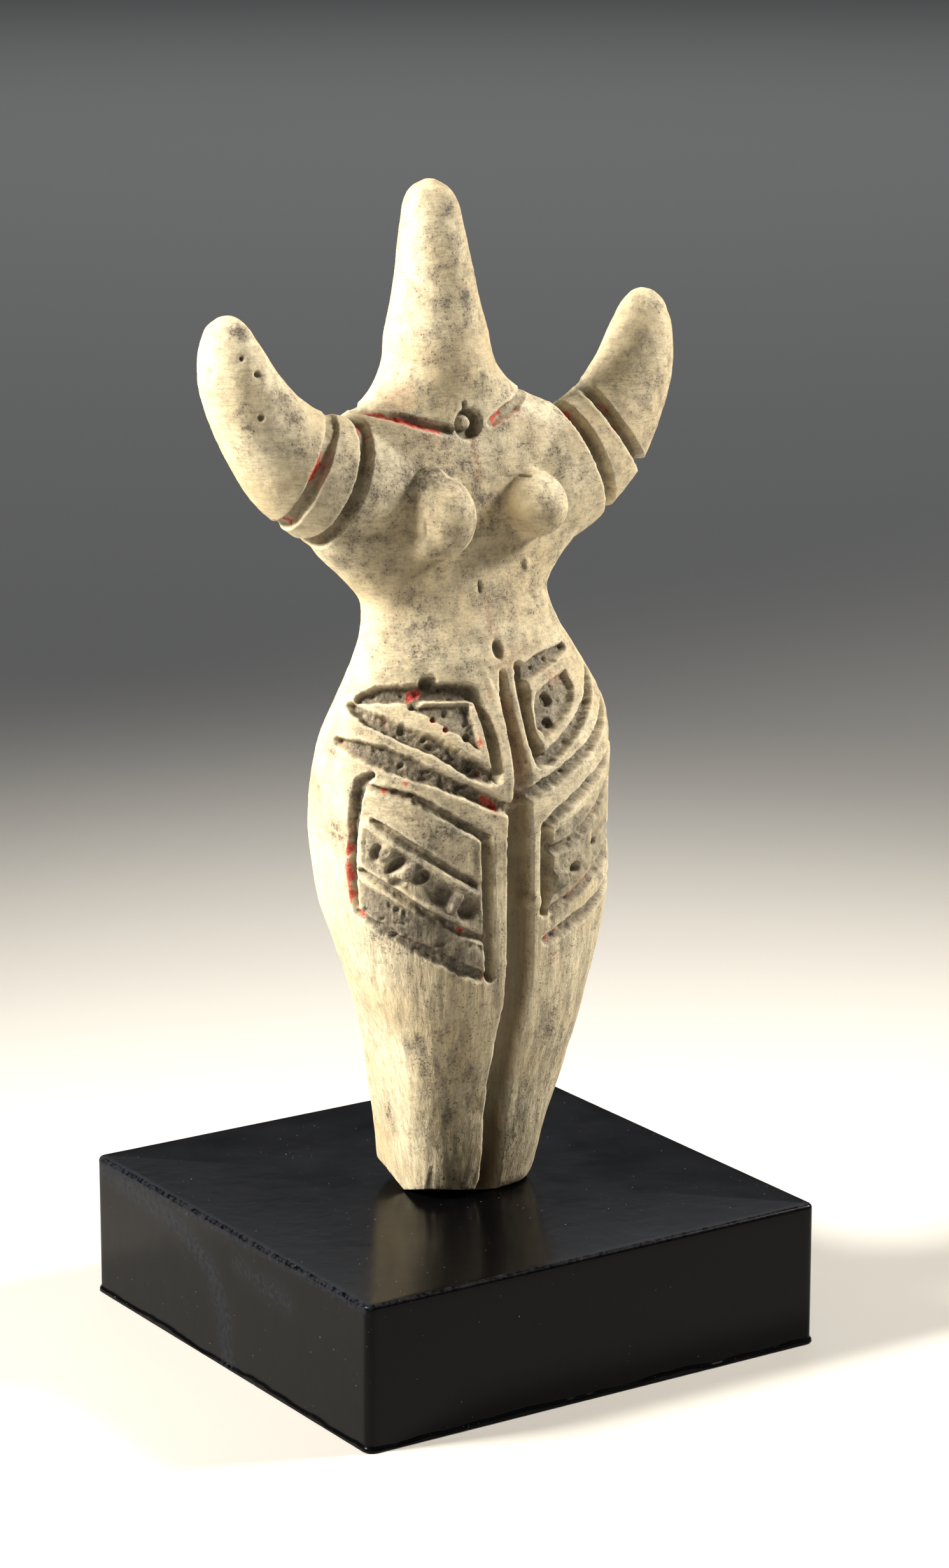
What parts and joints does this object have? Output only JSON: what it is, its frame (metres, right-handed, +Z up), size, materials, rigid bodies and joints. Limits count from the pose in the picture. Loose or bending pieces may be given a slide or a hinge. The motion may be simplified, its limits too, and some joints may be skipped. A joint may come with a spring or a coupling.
{
  "type": "fertility figurine",
  "caption": "Fired clay standing female figurine with raised stump arms, plain tapering head and incised belt and apron panels, on a square black display base.",
  "frame": {"origin": "middle of the display base's underside", "axes": "+Z up along the figure, -Y the way the figure faces, +X towards the viewer's right of someone who faces the figure"},
  "size_m": [0.1024, 0.1, 0.2197],
  "materials": {
    "fired_clay": "matte cream fired clay with grey specks, grey grit in the incised lines and red pigment left in a few of them",
    "black_lacquered_wood": "semi-gloss black lacquer with faint scuffs"
  },
  "bodies": {
    "root": {"figurine": "fired_clay", "display_base": "black_lacquered_wood"}
  },
  "joints": []
}
